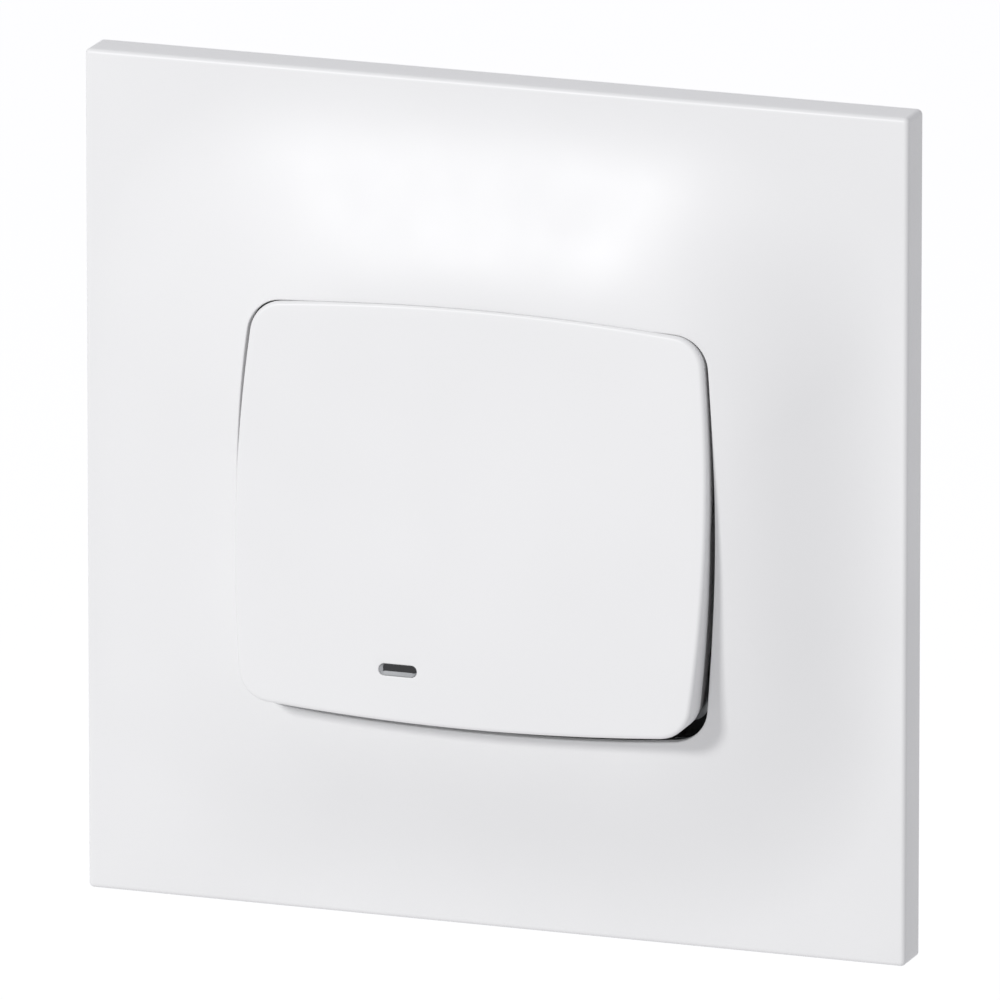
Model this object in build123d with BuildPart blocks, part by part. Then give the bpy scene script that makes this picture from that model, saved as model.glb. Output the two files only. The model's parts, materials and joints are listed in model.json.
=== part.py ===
from build123d import *
from math import cos, pi, radians, sin
import os

# Flush two-way rocker switch for a round wall box, with its square cover plate.
# X points right, Y into the wall and Z up. The origin is the middle of the wall plane, on the back of the
# support frame. Heights are measured out of the wall, towards the room, and depths into the wall box.
# The key is modelled at rest with its top edge pushed in.

# Cover plate
plate_size = 80.0
plate_edge = 3.9
plate_corner = 0.5
plate_edge_round = 0.45
plate_wall = 1.8
side_wall = 2.0
hollow_margin = 0.5
relief_margin = 0.5
relief_rise = 5.1
relief_wave = 0.9
relief_corner_outer = 20.0
relief_corner_inner = 14.0
relief_bulge_outer = 2.0
relief_steps = 8

# Opening for the key
opening_width = 46.5
opening_height = 40.0
opening_side_bulge = 1.2
opening_end_bulge = 1.05
opening_corner = 3.5
collar_wall = 1.5
collar_end = 4.5
collar_seat = 0.1

# Clip legs of the plate
leg_reach = 13.0
leg_width = 4.0
leg_thickness = 1.4
leg_inset = 0.5
hook_lip = 0.8
hook_length = 1.7
clip_clearance = 0.15
window_clearance = 0.35

# Rocker key
key_tilt = 5.7
pivot_height = 6.0
key_face = 5.1
key_wall = 1.6
key_skirt_wall = 1.5
key_depth = 5.7
key_side_gap = 0.5
key_end_gap = 0.55
key_round = 0.4
key_clip_width = 6.0
key_clip_thickness = 1.2
key_clip_lip = 0.6

# Indicator window, lens and lamp
window_x = -6.3
window_reach = 5.5
window_z = window_reach - opening_height / 2
window_length = 3.7
window_width = 1.1
lens_recess = 0.7
lens_clearance = 0.04
lens_flange = 0.7
lens_flange_margin = 0.9
lamp_radius = 1.2
lamp_length = 7.0
lamp_gap = 0.1
cradle_thickness = 1.0
cradle_margin = 0.7
cradle_base = 1.4

# Rocker carrier and its trunnions
carrier_width = 29.6
carrier_end_gap = 7.5
carrier_height = opening_height - 2 * carrier_end_gap
key_clip_inset = 3.0
key_clip_reach = carrier_height / 2 - key_clip_inset
carrier_plate = 1.5
seat_gap = 0.05
pin_radius = 1.2
pin_clearance = 0.05
lug_radius = 2.3
lug_thickness = 2.0
pin_end_play = 0.5
boss_radius = 3.9
boss_depth = 10.0
boss_bore_radius = 2.15
boss_bore_floor = 0.5
gusset_thickness = 1.4
gusset_inset = 5.0
gusset_reach = carrier_height / 2 - gusset_inset
gusset_depth = 4.0

# Plunger and spring
plunger_clearance = 0.08
plunger_top = 4.0
plunger_reach = 13.0
plunger_ball = 1.6
plunger_bore_radius = 1.55
plunger_bore_floor = 9.0
spring_wire = 0.36
spring_radius = 1.2
spring_turns = 7
spring_end_gap = 0.15

# Mechanism case
housing_size = 39.0
housing_corner = 3.0
housing_depth = 21.5
housing_wall = 1.6
housing_floor = 1.8
housing_edge_round = 0.8
post_radius = 1.7
post_sink = 0.1
case_screw_x = 13.5
case_screw_z = housing_size / 2 - housing_wall - post_radius + post_sink

# Support frame
frame_gap = 2.5
frame_size = plate_size - 2 * side_wall - 2 * frame_gap
frame_corner = 4.0
frame_thickness = 1.2
frame_seat = 1.5
frame_opening = housing_size - 2 * frame_seat
frame_opening_corner = 1.5
box_screw_spacing = 60.0
box_slot_length = 7.0
box_slot_width = 4.2
ear_thickness = 1.2
ear_margin = 0.6

# Mechanism cover
flange_side_lap = 2.0
flange_end_lap = 1.0
flange_width = frame_opening + 2 * flange_side_lap
flange_height = frame_opening + 2 * flange_end_lap
flange_thickness = 1.5
plug_clearance = 0.2
boss_window_width = 9.4
boss_window_height = 12.4
boss_window_corner = 1.0
cheek_thickness = 2.0
cheek_gap = 0.5
cheek_rim = 0.7
cheek_base = 9.0
stop_inset = 1.5
stop_reach = carrier_height / 2 - stop_inset
stop_width = 1.6
stop_x = 7.5
stop_length = 6.0
stop_clearance = 0.3
case_screw_radius = 0.9
case_screw_head_radius = 1.7
case_screw_head = 1.1
case_screw_length = 12.0
case_screw_clearance = 0.15

# See-saw contact
seesaw_tilt = 7.125
seesaw_axis_depth = 8.55
seesaw_length = 23.0
seesaw_width = 6.0
seesaw_thickness = 0.8
seesaw_corner = 1.0
saddle_radius = 0.6
saddle_clearance = 0.05
saddle_width = 5.2
ear_gap = 0.25
guide_ear_thickness = 0.8
guide_ear_width = 3.0
tip_reach = 10.0
tip_radius = 1.4
tip_height = 0.7
fixed_tip_height = 0.6
contact_clearance = 0.1

# Contact rails and terminals
rail_thickness = 1.0
rail_bend = 0.8
rail_gap = 1.0
post_gap = 1.0
rail_width = (2 * (case_screw_z - post_radius - post_gap) - 2 * rail_gap) / 3
traveller_z = rail_width + rail_gap
channel_overlap = 3.0
cage_wall_gap = 0.4
cage_front_depth = 5.0
cage_outer_x = housing_size / 2 - housing_wall - cage_wall_gap - rail_thickness / 2
cage_back_depth = 16.5
entry_step = 1.8
entry_x = cage_outer_x - entry_step
entry_radius = 1.5
entry_margin = 1.5
entry_spacing = rail_width - 2 * entry_margin
entry_funnel = 0.5
guide_wall = 0.8
guide_depth = 4.2
guide_clearance = 0.05
button_step = 4.0
button_x = entry_x - button_step
button_width = 2.6
button_margin = 1.2
button_length = rail_width - 2 * button_margin
button_clearance = 0.12
cage_inner_step = 3.3
cage_inner_x = button_x - cage_inner_step
clamp_thickness = 0.4
clamp_margin = 0.4
clamp_width = rail_width - 2 * clamp_margin
clamp_bend = 1.1
clamp_gap = 0.15
clamp_foot_depth = 6.4
clamp_turn_depth = 17.0
clamp_tip_depth = 8.8
clamp_tip_gap = 0.3
button_stand = 0.7
button_foot_gap = 0.3
button_flange = 0.7
button_flange_thickness = 1.2
partition_thickness = 1.2

# Claws and their screws
claw_pivot_depth = 1.7
claw_housing_gap = 1.5
claw_pivot_z = housing_size / 2 + claw_housing_gap
claw_width = 6.0
claw_thickness = 1.2
claw_pin_radius = 0.58
claw_pin_clearance = 0.08
claw_depth = 19.0
claw_foot = 4.6
claw_swing = 20.0
claw_tab_depth = 5.7
claw_tab_width = 5.2
claw_tab_end = 2.6
tooth_pitch = 2.0
tooth_depth = 1.0
claw_screw_reach = 6.0
claw_screw_z = claw_pivot_z + claw_screw_reach
claw_screw_radius = 1.5
claw_screw_length = 10.5
claw_screw_clearance = 0.2
claw_head_radius = 2.8
claw_head_height = 1.9
drive_slot = 0.8
nut_size = 4.5
nut_thickness = 2.2
nut_clearance = 0.06
nut_gap = 0.1

os.makedirs("parts", exist_ok=True)


def wall_plane(height):
    """A plane parallel to the wall at that height, seen from the room: across is X and up is Z."""
    return Plane.XZ.offset(height)


def side_plane(x):
    """A plane across the switch at that X: across is the depth into the wall and up is Z."""
    return Plane.YZ.offset(x)


def bulged_outline(width, height, side_bulge, end_bulge, corner):
    """A rectangle with four shallow arcs for sides and rounded corners."""
    x = width / 2 - side_bulge
    z = height / 2 - end_bulge
    with BuildLine() as arcs:
        ThreePointArc((-x, z), (0, height / 2), (x, z))
        ThreePointArc((x, z), (width / 2, 0), (x, -z))
        ThreePointArc((x, -z), (0, -height / 2), (-x, -z))
        ThreePointArc((-x, -z), (-width / 2, 0), (-x, z))
    outline = make_face(arcs.edges())
    fillet(outline.vertices(), corner)


def opening_outline(margin):
    """The outline of the key's opening, moved outwards by a margin."""
    bulged_outline(
        opening_width + 2 * margin,
        opening_height + 2 * margin,
        opening_side_bulge,
        opening_end_bulge,
        opening_corner + margin,
    )


def key_outline(inset):
    """The outline of the key, moved inwards by an inset."""
    bulged_outline(
        opening_width - 2 * key_side_gap - 2 * inset,
        opening_height - 2 * key_end_gap - 2 * inset,
        opening_side_bulge,
        opening_end_bulge,
        opening_corner - key_side_gap - inset / 2,
    )


def relief_outline(share, inset):
    """A level line of the plate's relief, from its foot at share 0 to the collar at share 1."""
    foot = plate_size - 2 * relief_margin - 2 * inset
    bulged_outline(
        foot + share * (opening_width - foot),
        foot + share * (opening_height - foot),
        relief_bulge_outer + share * (opening_side_bulge - relief_bulge_outer),
        relief_bulge_outer + share * (opening_end_bulge - relief_bulge_outer),
        relief_corner_outer + share * (relief_corner_inner - relief_corner_outer),
    )


def relief_height(share):
    """The relief rises along a cosine wave, level at its foot and still rising a little at the collar."""
    return plate_edge + relief_rise * (1 - cos(relief_wave * pi * share)) / (1 - cos(relief_wave * pi))


def strip(points, thickness, bend):
    """The side view of a bent strip: a line of runs and bends, thickened to both sides."""
    with BuildLine() as middle:
        FilletPolyline(*points, radius=bend)
    trace(middle.edges(), line_width=thickness)


# Tilted planes of the rocker and the see-saw, at their axes
rocker = Plane(
    origin=(0, -pivot_height, 0),
    x_dir=(1, 0, 0),
    z_dir=(0, -cos(radians(key_tilt)), sin(radians(key_tilt))),
)
rocker_side = Plane(
    origin=rocker.origin,
    x_dir=(0, cos(radians(key_tilt)), -sin(radians(key_tilt))),
    z_dir=(1, 0, 0),
)
rocker_normal = Axis(rocker.origin, rocker.z_dir)
seesaw = Plane(
    origin=(0, seesaw_axis_depth, 0),
    x_dir=(1, 0, 0),
    z_dir=(0, -cos(radians(seesaw_tilt)), -sin(radians(seesaw_tilt))),
)
seesaw_normal = Axis(seesaw.origin, seesaw.z_dir)

# Cover plate: a flat slab, the relief lofted on it, hollowed from behind, with a collar and four clip legs
collar_top = relief_height(1) - plate_wall + collar_seat
leg_x = opening_width / 2 - leg_inset
leg_out = leg_x + leg_thickness
with BuildPart() as cover_plate:
    with BuildSketch(wall_plane(0)):
        RectangleRounded(plate_size, plate_size, plate_corner)
    extrude(amount=plate_edge)
    fillet(cover_plate.faces().sort_by(Axis.Y)[0].edges(), plate_edge_round)
    for step in range(relief_steps + 1):
        with BuildSketch(wall_plane(relief_height(step / relief_steps))):
            relief_outline(step / relief_steps, 0)
    loft()
    with BuildSketch(wall_plane(0)):
        RectangleRounded(plate_size - 2 * side_wall, plate_size - 2 * side_wall, plate_corner)
    extrude(amount=plate_edge - plate_wall, mode=Mode.SUBTRACT)
    for step in range(relief_steps + 1):
        with BuildSketch(wall_plane(relief_height(step / relief_steps) - plate_wall)):
            relief_outline(step / relief_steps, side_wall - relief_margin + hollow_margin)
    loft(mode=Mode.SUBTRACT)
    with BuildSketch(wall_plane(collar_end)):
        opening_outline(collar_wall)
    extrude(amount=collar_top - collar_end)
    with BuildSketch(wall_plane(collar_end)):
        opening_outline(0)
    extrude(amount=plate_size, mode=Mode.SUBTRACT)
    for side in (-1, 1):
        for z in (-leg_reach, leg_reach):
            with BuildSketch(Plane.XY.offset(z - leg_width / 2)):
                with BuildLine():
                    Polyline(
                        (side * leg_x, -collar_end - leg_thickness),
                        (side * leg_out, -collar_end - leg_thickness),
                        (side * leg_out, clip_clearance),
                        (side * (leg_out + hook_lip), clip_clearance),
                        (side * leg_out, clip_clearance + hook_length),
                        (side * leg_x, clip_clearance + hook_length),
                        close=True,
                    )
                make_face()
            extrude(amount=leg_width)
cover_plate.part.label = "cover_plate"
export_step(cover_plate.part, "parts/cover_plate.step")

# Rocker key: a shallow cap with a soft edge, open behind, with the indicator slot and two clip legs
with BuildPart() as rocker_key:
    with BuildSketch(rocker.offset(key_face)):
        key_outline(0)
    extrude(amount=-key_depth)
    fillet(rocker_key.faces().sort_by(rocker_normal)[-1].edges(), key_round)
    with BuildSketch(rocker.offset(key_face - key_wall)):
        key_outline(key_skirt_wall)
    extrude(amount=key_wall - key_depth, mode=Mode.SUBTRACT)
    with BuildSketch(rocker.offset(key_face)):
        with Locations((window_x, window_z)):
            SlotOverall(window_length, window_width)
    extrude(amount=-key_wall, mode=Mode.SUBTRACT)
    clip_top = key_face - key_wall
    clip_bottom = clip_top - seat_gap - carrier_plate - clip_clearance
    for side in (-1, 1):
        clip_in = key_clip_reach - key_clip_thickness / 2
        clip_out = key_clip_reach + key_clip_thickness / 2
        with BuildSketch(rocker_side.offset(-key_clip_width / 2)):
            with BuildLine():
                Polyline(
                    (-clip_top, side * clip_in),
                    (-clip_top, side * clip_out),
                    (-clip_bottom, side * clip_out),
                    (-clip_bottom, side * (clip_out + key_clip_lip)),
                    (-clip_bottom + 2 * key_clip_lip, side * clip_out),
                    (-clip_bottom + 2 * key_clip_lip, side * clip_in),
                    close=True,
                )
            make_face()
        extrude(amount=key_clip_width)
rocker_key.part.label = "rocker_key"
export_step(rocker_key.part, "parts/rocker_key.step")

# Indicator lens: a clear bar in the slot, with a flange behind the key's face
with BuildPart() as indicator_lens:
    with BuildSketch(rocker.offset(key_face - lens_recess)):
        with Locations((window_x, window_z)):
            SlotOverall(window_length - 2 * lens_clearance, window_width - 2 * lens_clearance)
    extrude(amount=lens_recess - key_wall)
    with BuildSketch(rocker.offset(key_face - key_wall)):
        with Locations((window_x, window_z)):
            SlotOverall(window_length + 2 * lens_flange_margin, window_width + 2 * lens_flange_margin)
    extrude(amount=-lens_flange)
indicator_lens.part.label = "indicator_lens"
export_step(indicator_lens.part, "parts/indicator_lens.step")

# Rocker carrier: a plate under the key, two trunnions and the plunger's boss
carrier_top = key_face - key_wall - seat_gap
pin_reach = carrier_width / 2 + cheek_gap + cheek_thickness + pin_end_play
with BuildPart() as rocker_carrier:
    with BuildSketch(rocker.offset(carrier_top)):
        RectangleRounded(carrier_width, carrier_height, carrier_plate)
    extrude(amount=-carrier_plate)
    with BuildSketch(rocker.offset(carrier_top)):
        with GridLocations(0, 2 * key_clip_reach, 1, 2):
            Rectangle(
                key_clip_width + 2 * clip_clearance,
                key_clip_thickness + 2 * clip_clearance,
            )
    extrude(amount=-carrier_plate, mode=Mode.SUBTRACT)
    for side in (-1, 1):
        with BuildSketch(rocker_side.offset(side * carrier_width / 2)):
            Circle(lug_radius)
            with Locations((-carrier_top / 2, 0)):
                Rectangle(carrier_top, 2 * lug_radius)
        extrude(amount=-side * lug_thickness)
        with BuildSketch(rocker_side.offset(side * carrier_width / 2)):
            Circle(pin_radius)
        extrude(amount=side * (pin_reach - carrier_width / 2))
    with BuildSketch(rocker.offset(carrier_top - carrier_plate)):
        Circle(boss_radius)
    extrude(amount=-(boss_depth + carrier_top - carrier_plate))
    with BuildSketch(rocker_side.offset(-gusset_thickness / 2)):
        with BuildLine():
            Polyline(
                (carrier_plate - carrier_top, -gusset_reach),
                (carrier_plate - carrier_top, gusset_reach),
                (gusset_depth, boss_radius),
                (gusset_depth, -boss_radius),
                close=True,
            )
        make_face()
    extrude(amount=gusset_thickness)
    with BuildSketch(rocker.offset(-boss_depth)):
        Circle(boss_bore_radius)
    extrude(amount=boss_depth - boss_bore_floor, mode=Mode.SUBTRACT)
rocker_carrier.part.label = "rocker_carrier"
export_step(rocker_carrier.part, "parts/rocker_carrier.step")

# Plunger: a hollow pin with a ball end, which rides on the see-saw
plunger_radius = boss_bore_radius - plunger_clearance
with BuildPart() as plunger:
    with BuildSketch(rocker_side):
        with BuildLine():
            ball_depth = plunger_reach - plunger_ball
            Polyline(
                (plunger_bore_floor, 0),
                (plunger_bore_floor, plunger_bore_radius),
                (plunger_top, plunger_bore_radius),
                (plunger_top, plunger_radius),
                (ball_depth - plunger_ball, plunger_radius),
                (ball_depth, plunger_ball),
            )
            RadiusArc((ball_depth, plunger_ball), (plunger_reach, 0), plunger_ball)
            Line((plunger_reach, 0), (plunger_bore_floor, 0))
        make_face()
    revolve(axis=rocker_normal)
plunger.part.label = "plunger"
export_step(plunger.part, "parts/plunger.step")

# Plunger spring: a helix between the floors of the boss and the plunger
spring_start = boss_bore_floor + spring_wire / 2 + spring_end_gap
spring_height = plunger_bore_floor - spring_wire / 2 - spring_end_gap - spring_start
with BuildPart() as plunger_spring:
    with BuildLine() as coil:
        Helix(
            pitch=spring_height / spring_turns,
            height=spring_height,
            radius=spring_radius,
            center=rocker.origin - rocker.z_dir * spring_start,
            direction=-rocker.z_dir,
        )
    with BuildSketch(Plane(origin=coil.line @ 0, z_dir=coil.line % 0)):
        Circle(spring_wire / 2)
    sweep(is_frenet=True)
plunger_spring.part.label = "plunger_spring"
export_step(plunger_spring.part, "parts/plunger_spring.step")

# Support frame: pressed steel with box-screw slots, clip windows, claw-screw holes and hinge ears
leg_window = leg_thickness + hook_lip + 2 * window_clearance
ear_x = claw_width / 2 + ear_gap
with BuildPart() as support_frame:
    with BuildSketch(wall_plane(0)):
        RectangleRounded(frame_size, frame_size, frame_corner)
        RectangleRounded(frame_opening, frame_opening, frame_opening_corner, mode=Mode.SUBTRACT)
        with GridLocations(box_screw_spacing, 0, 2, 1):
            SlotOverall(box_slot_length, box_slot_width, mode=Mode.SUBTRACT)
        with GridLocations(2 * leg_x + leg_window - 2 * window_clearance, 2 * leg_reach, 2, 2):
            Rectangle(leg_window, leg_width + 2 * window_clearance, mode=Mode.SUBTRACT)
        with GridLocations(0, 2 * claw_screw_z, 1, 2):
            Circle(claw_screw_radius + claw_screw_clearance, mode=Mode.SUBTRACT)
    extrude(amount=frame_thickness)
    ear_radius = claw_pin_radius + claw_pin_clearance + ear_margin
    for side in (-1, 1):
        for x in (-ear_x - ear_thickness, ear_x):
            with BuildSketch(side_plane(x)):
                with Locations((claw_pivot_depth / 2, side * claw_pivot_z)):
                    Rectangle(claw_pivot_depth, 2 * ear_radius)
                with Locations((claw_pivot_depth, side * claw_pivot_z)):
                    Circle(ear_radius)
                    Circle(claw_pin_radius + claw_pin_clearance, mode=Mode.SUBTRACT)
            extrude(amount=ear_thickness)
support_frame.part.label = "support_frame"
export_step(support_frame.part, "parts/support_frame.step")

# Mechanism cover: a flange in front of the frame, a plug through it, bearing cheeks and end stops
flange_top = frame_thickness + flange_thickness
cheek_x = carrier_width / 2 + cheek_gap
cheek_radius = pin_radius + pin_clearance + cheek_rim
stop_drop = stop_reach * sin(radians(key_tilt)) + stop_width / 2 * sin(radians(key_tilt))
carrier_back = (carrier_top - carrier_plate) * cos(radians(key_tilt))
stop_top = pivot_height + carrier_back - stop_drop - stop_clearance
with BuildPart() as mechanism_cover:
    with BuildSketch(wall_plane(frame_thickness)):
        RectangleRounded(flange_width, flange_height, housing_corner)
    extrude(amount=flange_thickness)
    with BuildSketch(wall_plane(0)):
        plug_size = frame_opening - 2 * plug_clearance
        RectangleRounded(plug_size, plug_size, frame_opening_corner)
    extrude(amount=frame_thickness)
    with BuildSketch(wall_plane(0)):
        RectangleRounded(boss_window_width, boss_window_height, boss_window_corner)
    extrude(amount=flange_top, mode=Mode.SUBTRACT)
    for side in (-1, 1):
        with BuildSketch(side_plane(side * cheek_x)):
            with BuildLine():
                Polyline(
                    (-flange_top, -cheek_base / 2),
                    (-pivot_height, -cheek_radius),
                    (-pivot_height, cheek_radius),
                    (-flange_top, cheek_base / 2),
                    close=True,
                )
            make_face()
            with Locations((-pivot_height, 0)):
                Circle(cheek_radius)
                Circle(pin_radius + pin_clearance, mode=Mode.SUBTRACT)
        extrude(amount=side * cheek_thickness)
    with BuildSketch(wall_plane(flange_top)):
        with GridLocations(2 * stop_x, 2 * stop_reach, 2, 2):
            Rectangle(stop_length, stop_width)
    extrude(amount=stop_top - flange_top)
    with Locations(wall_plane(flange_top)):
        with GridLocations(2 * case_screw_x, 2 * case_screw_z, 2, 2):
            CounterBoreHole(
                case_screw_radius + case_screw_clearance,
                case_screw_head_radius + case_screw_clearance,
                case_screw_head + case_screw_clearance,
                flange_top,
            )
mechanism_cover.part.label = "mechanism_cover"
export_step(mechanism_cover.part, "parts/mechanism_cover.step")

# Lamp holder: a base with two cradles, on the mechanism cover under the window
cradle_span = lamp_length - 2 * cradle_thickness
lamp_height = flange_top + cradle_base + lamp_gap + lamp_radius
with BuildPart() as lamp_holder:
    with BuildSketch(wall_plane(flange_top)):
        with Locations((window_x, window_z)):
            Rectangle(lamp_length, 2 * lamp_radius + 2 * cradle_margin)
    extrude(amount=cradle_base)
    for side in (-1, 1):
        with BuildSketch(side_plane(window_x + side * cradle_span / 2 - cradle_thickness / 2)):
            with Locations((-(flange_top + lamp_height) / 2, window_z)):
                Rectangle(lamp_height - flange_top, 2 * lamp_radius + 2 * cradle_margin)
            with Locations((-lamp_height, window_z)):
                Circle(lamp_radius + seat_gap, mode=Mode.SUBTRACT)
        extrude(amount=cradle_thickness)
lamp_holder.part.label = "lamp_holder"
export_step(lamp_holder.part, "parts/lamp_holder.step")

# Indicator lamp: a glass capsule lying in the cradles
with BuildPart() as indicator_lamp:
    with BuildSketch(side_plane(window_x - lamp_length / 2)):
        with Locations((-lamp_height, window_z)):
            Circle(lamp_radius)
    extrude(amount=lamp_length)
    fillet(indicator_lamp.edges().filter_by(GeomType.CIRCLE), lamp_radius * 0.8)
indicator_lamp.part.label = "indicator_lamp"
export_step(indicator_lamp.part, "parts/indicator_lamp.step")

# Places in the housing that its pieces share
blade_back = saddle_radius + saddle_clearance
tip_face = tip_height - blade_back
fixed_tip_depth = (
    seesaw_axis_depth
    + tip_face * cos(radians(seesaw_tilt))
    + (tip_reach + tip_radius) * sin(radians(seesaw_tilt))
    + contact_clearance
)
rail_front = fixed_tip_depth + fixed_tip_height
rail_depth = rail_front + rail_thickness / 2
rail_back = rail_front + rail_thickness
housing_inside = housing_size - 2 * housing_wall
floor_depth = housing_depth - housing_floor
guide_width = 2 * entry_radius + 2 * guide_wall
guide_length = entry_spacing + 2 * entry_radius + 2 * guide_wall
terminals = (
    ("common", -1, 0),
    ("traveller_one", 1, traveller_z),
    ("traveller_two", 1, -traveller_z),
)

# Housing: a deep box with two low partitions, screw posts and windows for wires and buttons
with BuildPart() as mechanism_housing:
    with BuildSketch(wall_plane(0)):
        RectangleRounded(housing_size, housing_size, housing_corner)
    extrude(amount=-housing_depth)
    fillet(mechanism_housing.faces().sort_by(Axis.Y)[-1].edges(), housing_edge_round)
    with BuildSketch(wall_plane(0)):
        RectangleRounded(housing_inside, housing_inside, housing_corner - housing_wall)
    extrude(amount=-floor_depth, mode=Mode.SUBTRACT)
    with BuildSketch(wall_plane(-floor_depth)):
        with GridLocations(2 * cage_inner_x - rail_thickness - partition_thickness, 0, 2, 1):
            Rectangle(partition_thickness, housing_inside)
    extrude(amount=floor_depth - rail_back)
    with BuildSketch(wall_plane(-floor_depth)):
        with GridLocations(2 * case_screw_x, 2 * case_screw_z, 2, 2):
            Circle(post_radius)
    extrude(amount=floor_depth)
    with Locations(wall_plane(0)):
        with GridLocations(2 * case_screw_x, 2 * case_screw_z, 2, 2):
            Hole(case_screw_radius, case_screw_length)
    for name, side, z in terminals:
        with BuildSketch(wall_plane(-housing_depth)):
            with Locations((side * entry_x, z)):
                Rectangle(guide_width + 2 * guide_clearance, guide_length + 2 * guide_clearance)
            with Locations((side * button_x, z)):
                Rectangle(button_width + 2 * button_clearance, button_length + 2 * button_clearance)
        extrude(amount=housing_floor, mode=Mode.SUBTRACT)
mechanism_housing.part.label = "mechanism_housing"
export_step(mechanism_housing.part, "parts/mechanism_housing.step")

# Case screws: four small screws through the cover into the housing's posts
with BuildPart() as case_screws:
    with BuildSketch(wall_plane(flange_top - case_screw_clearance)):
        with GridLocations(2 * case_screw_x, 2 * case_screw_z, 2, 2):
            Circle(case_screw_head_radius)
    extrude(amount=-case_screw_head)
    with BuildSketch(wall_plane(flange_top - case_screw_clearance)):
        with GridLocations(2 * case_screw_x, 2 * case_screw_z, 2, 2):
            Circle(case_screw_radius - seat_gap)
    extrude(amount=-case_screw_length)
    with BuildSketch(wall_plane(flange_top - case_screw_clearance)):
        with GridLocations(2 * case_screw_x, 2 * case_screw_z, 2, 2):
            Rectangle(2 * case_screw_head_radius, drive_slot / 2)
    extrude(amount=-case_screw_head / 2, mode=Mode.SUBTRACT)
case_screws.part.label = "case_screws"
export_step(case_screws.part, "parts/case_screws.step")

# Moving contact: a see-saw blade that rocks on the saddle, with a silver tip near each end
with BuildPart() as moving_contact:
    with BuildSketch(seesaw.offset(blade_back)):
        RectangleRounded(seesaw_width, seesaw_length, seesaw_corner)
    extrude(amount=seesaw_thickness)
moving_contact.part.label = "moving_contact"
export_step(moving_contact.part, "parts/moving_contact.step")

with BuildPart() as moving_contact_tips:
    with BuildSketch(seesaw.offset(blade_back)):
        with GridLocations(0, 2 * tip_reach, 1, 2):
            Circle(tip_radius)
    extrude(amount=-tip_height)
    chamfer(moving_contact_tips.faces().group_by(seesaw_normal)[0].edges(), tip_height / 3)
moving_contact_tips.part.label = "moving_contact_tips"
export_step(moving_contact_tips.part, "parts/moving_contact_tips.step")


def rail_points(side):
    """The line of a rail: across the middle channel, forward, out to the wall and back past the clamp."""
    return (
        (-side * channel_overlap, rail_depth),
        (side * cage_inner_x, rail_depth),
        (side * cage_inner_x, cage_front_depth),
        (side * cage_outer_x, cage_front_depth),
        (side * cage_outer_x, cage_back_depth),
    )


# Common contact: its rail carries the saddle and two ears that keep the see-saw in place
with BuildPart() as common_contact:
    with BuildSketch(Plane.XY.offset(-rail_width / 2)):
        strip(rail_points(-1), rail_thickness, rail_bend)
    extrude(amount=rail_width)
    with BuildSketch(side_plane(-saddle_width / 2)):
        with Locations((seesaw_axis_depth, 0)):
            Circle(saddle_radius)
        with Locations(((seesaw_axis_depth + rail_depth) / 2, 0)):
            Rectangle(rail_depth - seesaw_axis_depth, 2 * saddle_radius)
    extrude(amount=saddle_width)
    ear_front = seesaw_axis_depth - blade_back - seesaw_thickness
    for side in (-1, 1):
        ear_inner = seesaw_width / 2 + ear_gap
        with BuildSketch(side_plane(side * ear_inner)):
            with Locations(((ear_front + rail_depth) / 2, 0)):
                Rectangle(rail_depth - ear_front, guide_ear_width)
        extrude(amount=side * guide_ear_thickness)
    with BuildSketch(Plane.XZ.offset(-rail_back)):
        with Locations((ear_inner / 2 + guide_ear_thickness / 2, 0)):
            Rectangle(ear_inner + guide_ear_thickness, rail_width)
    extrude(amount=rail_thickness)
common_contact.part.label = "common_contact"
export_step(common_contact.part, "parts/common_contact.step")

# Upper and lower fixed contacts: the same rail on the other side, each with its silver tip
for name, side in (("upper", 1), ("lower", -1)):
    with BuildPart() as fixed_contact:
        with BuildSketch(Plane.XY.offset(side * traveller_z - rail_width / 2)):
            strip(rail_points(1), rail_thickness, rail_bend)
        extrude(amount=rail_width)
    fixed_contact.part.label = f"{name}_contact"
    export_step(fixed_contact.part, f"parts/{name}_contact.step")

    with BuildPart() as fixed_tip:
        with BuildSketch(wall_plane(-rail_front)):
            with Locations((0, side * tip_reach)):
                Circle(tip_radius)
        extrude(amount=fixed_tip_height)
    fixed_tip.part.label = f"{name}_contact_tip"
    export_step(fixed_tip.part, f"parts/{name}_contact_tip.step")

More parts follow.
